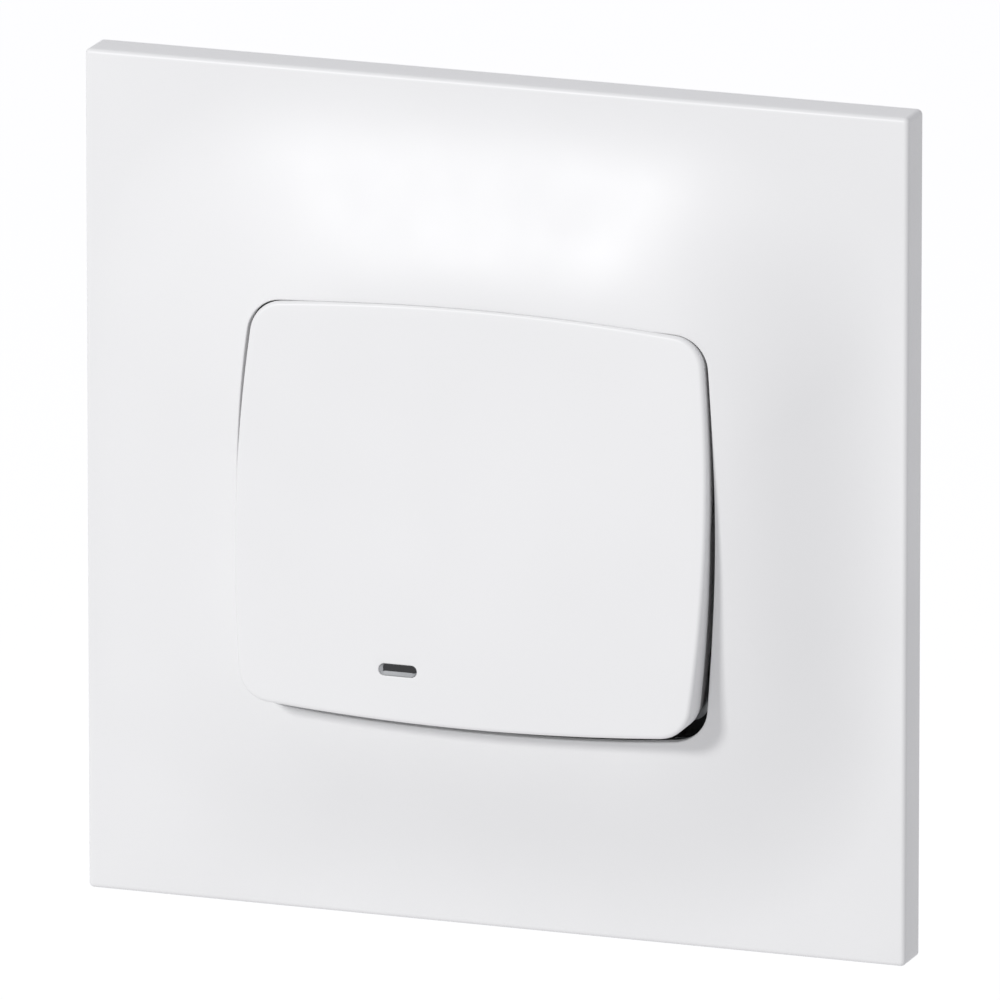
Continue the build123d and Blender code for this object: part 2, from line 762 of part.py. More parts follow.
# Terminals: in each a clamp spring, a release button and a wire guide with two round entries
clamp_x = cage_inner_x + rail_thickness / 2 + clamp_gap + clamp_thickness / 2
clamp_tip_x = cage_outer_x - rail_thickness / 2 - clamp_tip_gap - clamp_thickness / 2
leaf_slope = (clamp_turn_depth - clamp_tip_depth) / (clamp_tip_x - clamp_x)
foot_x = button_x - button_width / 2
button_foot = clamp_turn_depth - leaf_slope * (foot_x - clamp_x) + button_foot_gap + clamp_thickness
for name, side, z in terminals:
    with BuildPart() as clamp_spring:
        with BuildSketch(Plane.XY.offset(z - clamp_width / 2)):
            clamp_points = (
                (side * clamp_x, clamp_foot_depth),
                (side * clamp_x, clamp_turn_depth),
                (side * clamp_tip_x, clamp_tip_depth),
            )
            strip(clamp_points, clamp_thickness, clamp_bend)
        extrude(amount=clamp_width)
    clamp_spring.part.label = f"clamp_spring_{name}"
    export_step(clamp_spring.part, f"parts/clamp_spring_{name}.step")

    with BuildPart() as release_button:
        with BuildSketch(wall_plane(-button_foot)):
            with Locations((side * button_x, z)):
                Rectangle(button_width, button_length)
        extrude(amount=-(housing_depth + button_stand - button_foot))
        with BuildSketch(wall_plane(-floor_depth + seat_gap)):
            with Locations((side * button_x, z)):
                Rectangle(button_width, button_length + 2 * button_flange)
        extrude(amount=button_flange_thickness)
        fillet(release_button.faces().sort_by(Axis.Y)[-1].edges(), button_clearance * 2)
    release_button.part.label = f"release_button_{name}"
    export_step(release_button.part, f"parts/release_button_{name}.step")

    with BuildPart() as wire_guide:
        with BuildSketch(wall_plane(-housing_depth)):
            with Locations((side * entry_x, z)):
                Rectangle(guide_width, guide_length)
        extrude(amount=guide_depth)
        with BuildSketch(wall_plane(-housing_depth)):
            with Locations((side * entry_x, z)):
                with GridLocations(0, entry_spacing, 1, 2):
                    Circle(entry_radius)
        extrude(amount=guide_depth, mode=Mode.SUBTRACT)
        mouths = wire_guide.faces().sort_by(Axis.Y)[-1].edges().filter_by(GeomType.CIRCLE)
        chamfer(mouths, entry_funnel)
    wire_guide.part.label = f"wire_guide_{name}"
    export_step(wire_guide.part, f"parts/wire_guide_{name}.step")

# Claws: a hinged arm beside the housing with a toothed foot, and a tab that the nut pulls forward
pin_out = ear_x + ear_thickness + seat_gap
swing_rise = (claw_tab_depth - claw_pivot_depth) * sin(radians(claw_swing))
swing_lean = claw_thickness * sin(radians(claw_swing))
slot_in = claw_screw_z - claw_screw_radius - swing_rise - swing_lean - claw_screw_clearance
slot_out = claw_screw_z + claw_screw_radius + claw_screw_clearance
for name, side in (("upper", 1), ("lower", -1)):
    with BuildPart() as claw:
        with BuildSketch(side_plane(-claw_width / 2)):
            arm_points = (
                (claw_pivot_depth - claw_thickness / 2, side * claw_pivot_z),
                (claw_depth, side * claw_pivot_z),
                (claw_depth, side * (claw_pivot_z + claw_foot)),
            )
            strip(arm_points, claw_thickness, claw_thickness)
        extrude(amount=claw_width)
        with BuildSketch(side_plane(-pin_out)):
            with Locations((claw_pivot_depth, side * claw_pivot_z)):
                Circle(claw_pin_radius)
        extrude(amount=2 * pin_out)
        with BuildSketch(wall_plane(-claw_tab_depth)):
            tab_end = claw_screw_z + claw_tab_end
            with Locations((0, side * (claw_pivot_z + tab_end) / 2)):
                Rectangle(claw_tab_width, tab_end - claw_pivot_z)
            with Locations((0, side * (slot_in + slot_out) / 2)):
                SlotOverall(
                    slot_out - slot_in,
                    2 * (claw_screw_radius + claw_screw_clearance),
                    rotation=90,
                    mode=Mode.SUBTRACT,
                )
        extrude(amount=claw_thickness)
        with BuildSketch(wall_plane(-claw_depth)):
            with Locations((0, side * (claw_pivot_z + claw_foot))):
                with GridLocations(tooth_pitch, 0, 2, 1):
                    notch = (-tooth_pitch / 2, 0), (tooth_pitch / 2, 0), (0, -side * tooth_depth)
                    Polygon(*notch, align=None)
        extrude(amount=claw_thickness, both=True, mode=Mode.SUBTRACT)
    claw.part.label = f"{name}_claw"
    export_step(claw.part, f"parts/{name}_claw.step")

    with BuildPart() as claw_screw:
        with BuildSketch(wall_plane(frame_thickness + seat_gap)):
            with Locations((0, side * claw_screw_z)):
                Circle(claw_head_radius)
        extrude(amount=claw_head_height)
        fillet(claw_screw.faces().sort_by(Axis.Y)[0].edges(), claw_head_height / 3)
        with BuildSketch(wall_plane(frame_thickness + seat_gap + claw_head_height)):
            with Locations((0, side * claw_screw_z)):
                Rectangle(2 * claw_head_radius, drive_slot)
        extrude(amount=-claw_head_height / 2, mode=Mode.SUBTRACT)
        with BuildSketch(wall_plane(frame_thickness + seat_gap)):
            with Locations((0, side * claw_screw_z)):
                Circle(claw_screw_radius)
        extrude(amount=-(frame_thickness + claw_screw_length))
    claw_screw.part.label = f"{name}_claw_screw"
    export_step(claw_screw.part, f"parts/{name}_claw_screw.step")

    with BuildPart() as claw_nut:
        with BuildSketch(wall_plane(-(claw_tab_depth + nut_gap))):
            with Locations((0, side * claw_screw_z)):
                Rectangle(nut_size, nut_size)
                Circle(claw_screw_radius + nut_clearance, mode=Mode.SUBTRACT)
        extrude(amount=-nut_thickness)
    claw_nut.part.label = f"{name}_claw_nut"
    export_step(claw_nut.part, f"parts/{name}_claw_nut.step")
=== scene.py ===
"""A flush two-way rocker switch in white moulded plastic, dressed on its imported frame.

The cover plate and the key are skins made of rings. A ring is a bulged rectangle: four shallow
arcs joined by four tangent corner arcs, cut at the same shares of each arc, so that every ring
has the same number of points and two neighbouring rings make a band of four-sided faces.
"""
import json
import math
import bpy
import numpy as np
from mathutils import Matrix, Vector


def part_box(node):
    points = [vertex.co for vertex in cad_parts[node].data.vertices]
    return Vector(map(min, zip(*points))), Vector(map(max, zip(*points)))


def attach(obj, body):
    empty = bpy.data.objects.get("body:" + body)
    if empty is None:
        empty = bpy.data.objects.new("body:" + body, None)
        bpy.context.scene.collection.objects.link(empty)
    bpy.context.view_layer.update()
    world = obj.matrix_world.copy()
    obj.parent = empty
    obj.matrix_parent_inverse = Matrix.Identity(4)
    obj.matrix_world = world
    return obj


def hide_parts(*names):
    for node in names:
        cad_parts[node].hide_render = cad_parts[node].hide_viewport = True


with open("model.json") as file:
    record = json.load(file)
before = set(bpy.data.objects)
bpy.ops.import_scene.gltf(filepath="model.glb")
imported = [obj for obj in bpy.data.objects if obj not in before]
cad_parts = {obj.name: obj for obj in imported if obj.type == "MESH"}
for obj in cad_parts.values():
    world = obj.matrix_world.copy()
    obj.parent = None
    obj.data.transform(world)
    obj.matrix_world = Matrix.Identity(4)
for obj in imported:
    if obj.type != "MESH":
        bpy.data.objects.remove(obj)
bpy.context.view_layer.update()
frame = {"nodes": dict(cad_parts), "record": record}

MM = 0.001
QUARTER = math.pi / 2

# Cover plate, in millimetres. A bulged rectangle is given by its width, its height, how far its
# sides and its ends bulge, and its corner radius.
PLATE = 80.0
PLATE_EDGE = 3.9
PLATE_CORNER = 0.5
EDGE_ROUND = 0.45
PLATE_WALL = 1.8
SIDE_WALL = 2.0
RELIEF_MARGIN = 0.5
RELIEF_RISE = 5.1
RELIEF_WAVE = 0.9
CREST = PLATE_EDGE + RELIEF_RISE
FOOT = PLATE - 2 * RELIEF_MARGIN
FOOT_CORNER = 20.0
FOOT_BULGE = 2.0
CREST_CORNER = 14.0
CAVITY_INSET = 2.0
OPENING = (46.5, 40.0, 1.2, 1.05, 3.5)
OPENING_DROP = 0.15
LIP_ROUND = 0.12
RIM_DEPTH = 0.8
UNDERCUT = 1.0
COLLAR_WALL = 1.5
COLLAR_END = 4.5
FOOT_LINE = np.array([FOOT, FOOT, FOOT_BULGE, FOOT_BULGE, FOOT_CORNER])
CREST_LINE = np.array([*OPENING[:4], CREST_CORNER])

# Shares of the relief at which its corners start to square off, and over how much they do
FACE_SQUARING = (0.55, 0.45)
BACK_SQUARING = (0.4, 0.48)

# Painted shade: dark sleeve in the collar and dark card on the support frame, in millimetres
SHADE_SLEEVE_WALL = 0.3
MASK_OUTSIDE = (44.5, 43.0, 1.2, 1.05, 3.5)
MASK_INSIDE = (40.4, 38.4, 0, 0, 2.0)
MASK_HEIGHTS = (1.25, 1.6)

# Clip legs of the plate, and the play that parts have where they meet, in millimetres
LEG_REACH = 13.0
LEG_WIDTH = 4.0
LEG_THICKNESS = 1.4
LEG_INSET = 0.5
HOOK_LIP = 0.8
HOOK_LENGTH = 1.7
CLIP_CLEARANCE = 0.15
SEAT_GAP = 0.05

# Rocker key, in millimetres, measured from its hinge
PIVOT_HEIGHT = 6.0
KEY_TILT = math.radians(5.7)
KEY_FACE = 5.1
KEY_WALL = 1.6
KEY_SKIRT = 1.5
KEY_RIM = 0.25
SKIRT_STEP = 0.45
KEY_DEPTH = 5.7
KEY_GAPS = (0.5, 0.68)
KEY_SHIFT = (0.13, 0.05)
KEY_FLARE = 0.14
KEY_ROUND = 0.4
KEY_CROWN = 0.12
KEY_CLIP_REACH = 9.5
KEY_CLIP_WIDTH = 6.0
KEY_CLIP_THICKNESS = 1.2
KEY_CLIP_LIP = 0.6
CARRIER_PLATE = 1.5

# Slot in the key, and the light guide behind it, in millimetres
SLOT = (3.7, 1.1)
SLOT_PLACE = (-6.3, -14.5)
SLOT_ROUND = 0.12
SLOT_FLAT = 0.002
LENS_CLEARANCE = 0.04
LENS_RECESS = 0.3
LENS_BULGE = 0.02
LENS_FLANGE = (0.7, 0.9)
LENS_SHARES = (0.1, 0.85)
STRIP_WIDTH = 0.36
STRIP_RISE = 0.16
STRIP_TAPER = 0.03

# Marks on the back of the case, in millimetres
MARKS = {"common": "L", "traveller_one": "1", "traveller_two": "2"}
MARK_HEIGHT = 3.2
MARK_RAISE = 0.15
MARK_GAP = 0.9

# Points along each arc of a ring, and rings along each stretch of a surface
SIDE_POINTS = 44
END_POINTS = 52
CORNER_POINTS = 18
EDGE_RINGS = 9
MARGIN_RINGS = 3
RELIEF_RINGS = 64
RIM_RINGS = 2
HOLLOW_RINGS = 24
KEY_EDGE_RINGS = 11
KEY_FACE_RINGS = 30
KEY_BACK_RINGS = 3
LENS_RINGS = 9

# The least bulge of an arc in millimetres, the halvings that find a share of the relief, and the
# angle past which an edge is sharp
LEAST_BULGE = 0.001
HALVINGS = 30
SMOOTH_ANGLE = math.radians(35)

# Shares of a noise that a colour and a roughness spread over, and how a noise is drawn out along
# Z into rolling marks
COLOUR_SPREAD = (0.35, 0.65)
NUMBER_SPREAD = (0.3, 0.7)
ROLLED = (1.0, 1.0, 0.08)

# Studio, in metres and watts
FLOOR_HEIGHT = -0.35
FLOOR_REACH = 2.6
FLOOR_LIFT = 0.53
AIR_LIGHT = 0.5
LAMP_PLACE = (-0.40, -1.0, 0.5)
LAMP_SIZE = 0.16
LAMP_POWER = 6.2

# The photograph's view: the camera's place from the plate's face, in metres, and its long lens
AZIMUTH = math.radians(19.93)
ELEVATION = math.radians(14.70)
DISTANCE = 2.145
FOCAL_PX = 23390.0
FRAME_PX = 1000.0
AIM_PX = (493.9, 507.3)
SENSOR_MM = 36.0
FAR_CLIP = 20


# Outlines


def arc_circles(width, height, side_bulge, end_bulge, corner):
    """The circles of a bulged rectangle in its upper right quarter: side, end and corner.

    The side's circle has its centre on the X axis, and the end's on the Z axis. A side arc
    passes the middle of the side and the two sharp corners, which stand back by the bulges. The
    corner circle lies inside both, so its centre is a radius less than theirs from each of
    their centres. All sizes may be arrays.
    """
    sharp_x, sharp_z = width / 2 - side_bulge, height / 2 - end_bulge
    side_r = (sharp_z**2 + side_bulge**2) / (2 * side_bulge)
    end_r = (sharp_x**2 + end_bulge**2) / (2 * end_bulge)
    side_x, end_z = width / 2 - side_r, height / 2 - end_r
    a, b = side_r - corner, end_r - corner
    span = np.hypot(side_x, end_z)
    along = (span**2 + a**2 - b**2) / (2 * span)
    off = np.sqrt(np.maximum(a**2 - along**2, 0))
    unit_x, unit_z = -side_x / span, end_z / span
    corner_x = side_x + unit_x * along - unit_z * off
    corner_z = unit_z * along + unit_x * off
    return side_x, side_r, end_z, end_r, corner_x, corner_z


def arc(x, z, radius, turns):
    """Points on a circle about a centre, at given turns from its right."""
    return np.stack([x + radius * np.cos(turns), z + radius * np.sin(turns)], 1)


def ring(width, height, side_bulge, end_bulge, corner):
    """Points round a bulged rectangle, anticlockwise seen from the room, from its right middle.

    The upper right quarter is mirrored to the upper left, and that half is turned round.
    """
    side_bulge, end_bulge = max(side_bulge, LEAST_BULGE), max(end_bulge, LEAST_BULGE)
    side_x, side_r, end_z, end_r, corner_x, corner_z = arc_circles(
        width, height, side_bulge, end_bulge, corner
    )
    low = math.atan2(corner_z, corner_x - side_x)
    high = math.atan2(corner_z - end_z, corner_x)
    half_side = np.linspace(0, low, SIDE_POINTS // 2, endpoint=False)
    turn = np.linspace(low, high, CORNER_POINTS, endpoint=False)
    half_end = np.linspace(high, QUARTER, END_POINTS // 2, endpoint=False)
    quarter = np.concatenate(
        [
            arc(side_x, 0.0, side_r, half_side),
            arc(corner_x, corner_z, corner, turn),
            arc(0.0, end_z, end_r, half_end),
        ]
    )
    top = np.array([[0.0, height / 2]])
    right = np.array([[width / 2, 0.0]])
    half = np.concatenate([quarter, top, quarter[:0:-1] * [-1, 1]])
    return np.concatenate([half, -right, -half[1:]])


def opening_ring(margin):
    """The key's opening in the plate, moved outwards by a margin."""
    width, height, side, end, corner = OPENING
    outline = ring(width + 2 * margin, height + 2 * margin, side, end, corner + margin)
    return outline - [0, OPENING_DROP]


def key_ring(inset, corner_inset):
    """The key's outline moved inwards, with its corner radius less by a share of its own."""
    width, height, side, end, corner = OPENING
    outline = ring(
        width - 2 * KEY_GAPS[0] - 2 * inset,
        height - 2 * KEY_GAPS[1] - 2 * inset,
        side,
        end,
        corner - KEY_GAPS[0] - corner_inset,
    )
    return outline + KEY_SHIFT


def slot_ring(margin):
    """The indicator slot, moved outwards by a margin. Its ends are all but half circles."""
    width, height = SLOT[0] + 2 * margin, SLOT[1] + 2 * margin
    return ring(width, height, 0, 0, height / 2 - SLOT_FLAT) + np.array(SLOT_PLACE)


# Heights and places


def relief_shape(share):
    """A level line of the relief, whose sizes run evenly from foot, share 0, to collar, share 1."""
    return (FOOT_LINE + np.multiply.outer(share, CREST_LINE - FOOT_LINE)).T


def outside(points, share):
    """How far points lie outside their level lines, where each point has a share of its own.

    Beyond the corner circle's two tangent lines the larger of the distances from the side and
    end circles counts, and between them the distance from the corner circle.
    """
    x, z = np.abs(points[:, 0]), np.abs(points[:, 1])
    shape = relief_shape(share)
    side_x, side_r, end_z, end_r, corner_x, corner_z = arc_circles(*shape)
    from_side = np.hypot(x - side_x, z) - side_r
    from_end = np.hypot(x, z - end_z) - end_r
    from_corner = np.hypot(x - corner_x, z - corner_z) - shape[4]
    past_side = z * (corner_x - side_x) > corner_z * (x - side_x)
    past_end = x * (corner_z - end_z) > corner_x * (z - end_z)
    return np.where(past_side & past_end, from_corner, np.maximum(from_side, from_end))


def relief_height(points):
    """The height of the plate's face: part of a cosine wave of the share at each point.

    A point's share is that of the level line through it, found by halving.
    """
    low, high = np.zeros(len(points)), np.ones(len(points))
    for _ in range(HALVINGS):
        middle = (low + high) / 2
        out = outside(points, middle) > 0
        low, high = np.where(out, low, middle), np.where(out, middle, high)
    share = (low + high) / 2
    wave = RELIEF_WAVE * math.pi
    return PLATE_EDGE + RELIEF_RISE * (1 - np.cos(wave * share)) / (1 - math.cos(wave))


def crown(outline):
    """The face's slight crown: a product of two parabolas, zero at the key's edges."""
    half_w, half_h = OPENING[0] / 2 - KEY_GAPS[0], OPENING[1] / 2 - KEY_GAPS[1]
    rise = (1 - (outline[:, 0] / half_w) ** 2) * (1 - (outline[:, 1] / half_h) ** 2)
    return KEY_CROWN * np.maximum(rise, 0)


def rim_depth(outline):
    """The height at which the key's rim ends: just below the plate's lip, level at either stop.

    It falls off both ways from the key's middle by the tangent of the tilt.
    """
    middle = CREST - PIVOT_HEIGHT - KEY_RIM
    return middle - np.abs(outline[:, 1]) * math.tan(KEY_TILT)


def at_height(outline, height):
    """Ring points as places in the plate's frame: across, into the wall and up."""
    height = np.broadcast_to(height, len(outline))
    return np.stack([outline[:, 0], -height, outline[:, 1]], 1)


def tilted(points):
    """Places measured on the key, turned about its hinge to the rest position."""
    x, depth, z = points.T
    cos, sin = math.cos(KEY_TILT), math.sin(KEY_TILT)
    return np.stack([x, depth * cos + z * sin - PIVOT_HEIGHT, z * cos - depth * sin], 1)


# Closed shells. A shell is its points and its faces, in one array for each number of corners.


def between(first, last, count):
    """Rings that run evenly from one ring to another, the ends left out."""
    shares = np.linspace(0, 1, count + 2)[1:-1]
    return [first + share * (last - first) for share in shares]


def tube(rings):
    """A shell of rings joined by four-sided faces in a closed loop, each ring closed on itself."""
    stack = np.stack(rings)
    loops, count = stack.shape[:2]
    index = np.arange(loops * count).reshape(loops, count)
    after = np.roll(index, -1, 0)
    corners = [index, np.roll(index, -1, 1), np.roll(after, -1, 1), after]
    return stack.reshape(-1, 3), [np.stack(corners, -1).reshape(-1, 4)]


def plug(rings):
    """A shell of rings stacked from the back to the front, with a flat face on each end."""
    points, (quads,) = tube(rings)
    first = np.arange(len(rings[0]))
    last = first + len(points) - len(first)
    return points, [quads[: -len(first)], np.stack([first[::-1], last])]


def prism(profile, place, width):
    """A straight bar: a profile's corners placed at both ends of the width, with end caps."""
    first, second = np.array(profile).T
    low = np.arange(len(profile))
    ends = [place(first, second, np.full(len(low), w)) for w in (-width / 2, width / 2)]
    after, high = np.roll(low, -1), low + len(low)
    sides = np.stack([low, after, after + len(low), high], 1)
    points = np.concatenate([np.stack(end, 1) for end in ends])
    return points, [sides, np.stack([low[::-1], high])]


def volume(points, groups):
    """Six times the volume inside a shell, which is positive when its faces point outwards."""
    total = 0.0
    for group in groups:
        corners = points[group]
        for k in range(1, group.shape[1] - 1):
            crossed = np.cross(corners[:, k], corners[:, k + 1])
            total += np.einsum("ij,ij->", corners[:, 0], crossed)
    return total


def linked(name, data):
    """An object of the scene that holds some data."""
    made = bpy.data.objects.new(name, data)
    bpy.context.scene.collection.objects.link(made)
    return made


def piece(name, shells, material):
    """One mesh object from closed shells in millimetres, each turned outwards."""
    points, faces, start = [], [], 0
    for shell_points, groups in shells:
        if volume(shell_points, groups) < 0:
            groups = [group[:, ::-1] for group in groups]
        faces += [face for group in groups for face in (group + start).tolist()]
        points.append(shell_points)
        start += len(shell_points)
    mesh = bpy.data.meshes.new(name)
    mesh.from_pydata((np.concatenate(points) * MM).tolist(), [], faces)
    mesh.update()
    mesh.shade_smooth()
    mesh.set_sharp_from_angle(angle=SMOOTH_ANGLE)
    mesh.materials.append(material)
    return linked(name, mesh)


# Materials


def linear(colour):
    """A hex sRGB colour as linear red, green, blue and alpha."""
    values = [int(colour[i : i + 2], 16) / 255 for i in (1, 3, 5)]
    return [v / 12.92 if v <= 0.04045 else ((v + 0.055) / 1.055) ** 2.4 for v in values] + [1.0]


def add(tree, kind, links=None, **settings):
    """Adds one shader node. Links go to inputs by name; settings are input values or properties."""
    made = tree.nodes.new(kind)
    for name, value in settings.items():
        if hasattr(made, name):
            setattr(made, name, value)
        else:
            made.inputs[name.replace("_", " ")].default_value = value
    for name, socket in (links or {}).items():
        tree.links.new(socket, made.inputs[name])
    return made


def emptied(block):
    """The node tree of a material or a world, with its first nodes taken out."""
    block.use_nodes = True
    block.node_tree.nodes.clear()
    return block.node_tree


def base_material(name, **settings):
    """A material with one surface shader: the material, its nodes, the shader and the place.

    The place is the object's own coordinates, in metres.
    """
    material = bpy.data.materials.new(name)
    tree = emptied(material)
    shader = add(tree, "ShaderNodeBsdfPrincipled", **settings)
    add(tree, "ShaderNodeOutputMaterial", {"Surface": shader.outputs[0]})
    return material, tree, shader, add(tree, "ShaderNodeTexCoord").outputs["Object"]


def per_metre(size_mm):
    """The noise scale whose features are about that many millimetres."""
    return 1.0 / (size_mm * MM)


def mottled(tree, shader, place, first, second, size_mm, detail=2.0):
    """Lets the colour wander between two close tones in patches of a real size."""
    scale = per_metre(size_mm)
    noise = add(tree, "ShaderNodeTexNoise", {"Vector": place}, Scale=scale, Detail=detail)
    ramp = add(tree, "ShaderNodeValToRGB", {"Fac": noise.outputs["Fac"]})
    for end, share, tone in zip(ramp.color_ramp.elements, COLOUR_SPREAD, (first, second)):
        end.position = share
        end.color = linear(tone)
    tree.links.new(ramp.outputs["Color"], shader.inputs["Base Color"])


def wandering(tree, shader, place, low, high, size_mm):
    """Lets the roughness wander between two values in patches of a real size."""
    scale = per_metre(size_mm)
    noise = add(tree, "ShaderNodeTexNoise", {"Vector": place}, Scale=scale, Detail=2.0)
    start, end = NUMBER_SPREAD
    spread = add(
        tree, "ShaderNodeMapRange", {"Value": noise.outputs["Fac"]},
        From_Min=start, From_Max=end, To_Min=low, To_Max=high,
    )
    tree.links.new(spread.outputs["Result"], shader.inputs["Roughness"])


def grained(tree, shader, place, size_mm, depth_mm, strength, detail):
    """Gives the surface a tiny relief of noise, of a real size and depth."""
    scale = per_metre(size_mm)
    noise = add(tree, "ShaderNodeTexNoise", {"Vector": place}, Scale=scale, Detail=detail)
    height = {"Height": noise.outputs["Fac"]}
    bump = add(tree, "ShaderNodeBump", height, Strength=strength, Distance=depth_mm * MM)
    tree.links.new(bump.outputs["Normal"], shader.inputs["Normal"])


def white_abs(name, first, second, rough):
    """ABS from a polished mould: a soft even gloss, faint waviness from cooling and no grain."""
    material, *surface = base_material(name, IOR=1.53)
    mottled(*surface, first, second, size_mm=22.0)
    wandering(*surface, low=rough - 0.02, high=rough + 0.03, size_mm=9.0)
    grained(*surface, size_mm=6.0, depth_mm=0.02, strength=0.25, detail=1.0)
    return material


def eroded_plastic(name, first, second, rough, grain_mm=0.5):
    """Technical plastic from a spark-eroded mould: matt, with a fine even grain.

    The real grain is near 0.05 mm, too fine to show, so it is drawn several times as coarse.
    """
    material, *surface = base_material(name, IOR=1.5)
    mottled(*surface, first, second, size_mm=5.0, detail=4.0)
    wandering(*surface, low=rough - 0.05, high=rough + 0.05, size_mm=1.5)
    grained(*surface, size_mm=grain_mm, depth_mm=0.02, strength=0.5, detail=3.0)
    return material


def plated_metal(name, first, second, rough, patch_mm, grain_mm):
    """Pressed or turned metal with a thin plating: slightly cloudy, with fine rolling marks.

    The real marks are near 0.05 mm wide, too fine to show, so they are drawn coarser too.
    """
    material, tree, shader, place = base_material(name, Metallic=1.0)
    mottled(tree, shader, place, first, second, size_mm=patch_mm, detail=3.0)
    wandering(tree, shader, place, low=rough - 0.06, high=rough + 0.08, size_mm=patch_mm / 2)
    drawn = add(tree, "ShaderNodeMapping", {"Vector": place}, Scale=ROLLED).outputs[0]
    grained(tree, shader, drawn, size_mm=grain_mm, depth_mm=0.006, strength=0.35, detail=3.0)
    return material


def clear_lens(name, first, second):
    """Clear polycarbonate guide over a dark hollow, with a wet gloss; its near-black tone is
    painted shade of that hollow.
    """
    material, *surface = base_material(name, IOR=1.58, Transmission_Weight=0.35)
    mottled(*surface, first, second, size_mm=1.0)
    wandering(*surface, low=0.06, high=0.14, size_mm=0.6)
    return material


def lamp_glass(name, first, second):
    """Drawn soda glass of a small glow lamp: clear, faintly warm, with slight draw lines."""
    material, *surface = base_material(name, Roughness=0.05, IOR=1.51, Transmission_Weight=0.9)
    mottled(*surface, first, second, size_mm=2.0)
    grained(*surface, size_mm=0.8, depth_mm=0.01, strength=0.3, detail=2.0)
    return material


# Each slot's finish: how it is made, its name, its two tones, its roughness, the size of the
# plating's patches and the size of the grain, in millimetres
FINISHES = {
    "white_plate": (white_abs, "abs_white_plate", "#EFEFEF", "#F1F1F1", 0.43),
    "white_key": (white_abs, "abs_white_key", "#EFEFEF", "#F1F1F1", 0.43),
    # partly painted shade: the clear guide's near-black tones stand in for the dark hollow behind
    # it
    "lens": (clear_lens, "polycarbonate_light_guide", "#0F1012", "#17191B"),
    # painted light and shade: pale grey along the slot's lower edge and left end
    "lens_edge": (eroded_plastic, "polycarbonate_frosted_edge", "#A0A2A4", "#B0B2B4", 0.3, 0.2),
    "marking": (eroded_plastic, "laser_marked_polyamide", "#4A4C4E", "#565859", 0.55),
    # painted shade: near-black for the sleeve and card that darken the gap round the key
    "painted_shade": (eroded_plastic, "polyamide_black", "#161718", "#1E1F21", 0.55),
    "zinc_steel": (plated_metal, "zinc_plated_sheet_steel", "#B9BCBE", "#D2D4D5", 0.34, 6.0, 0.5),
    "grey_case": (eroded_plastic, "polyamide_light_grey", "#B9BBBC", "#C1C3C4", 0.5),
    "white_case": (eroded_plastic, "polycarbonate_off_white", "#DEDDD8", "#E5E4DF", 0.46),
    "carrier": (eroded_plastic, "polyamide_natural", "#DAD9D2", "#E2E1DB", 0.48),
    "plunger": (eroded_plastic, "acetal_black", "#1E1F21", "#27282A", 0.35),
    "spring_steel": (plated_metal, "stainless_spring_steel", "#A9ABAD", "#BFC1C3", 0.25, 3.0, 0.3),
    "screw_steel": (plated_metal, "zinc_plated_turned_steel", "#C4C7CA", "#D9DBDD", 0.28, 2.5, 0.3),
    "copper_alloy": (plated_metal, "rolled_brass_strip", "#C59A56", "#D6AE6A", 0.3, 4.0, 0.4),
    "silver": (plated_metal, "silver_contact_rivet", "#DAD8D2", "#EAE8E2", 0.22, 1.0, 0.2),
    "lamp_glass": (lamp_glass, "soda_glass_lamp", "#F3E9DA", "#FFF8EE"),
    "button": (eroded_plastic, "polyamide_orange", "#D9641F", "#E36F2A", 0.42),
    "guide": (eroded_plastic, "polyamide_mid_grey", "#8C8F92", "#979A9D", 0.5),
}


def dress_frame():
    """Makes the finishes and gives each node of the frame the one of its slot."""
    made = {slot: finish(*values) for slot, (finish, *values) in FINISHES.items()}
    for part in frame["record"]["subparts"]:
        mesh = frame["nodes"][part["node"]].data
        mesh.materials.clear()
        mesh.materials.append(made[part["material_slot"]])
    return made


# Skins of the plate and the key


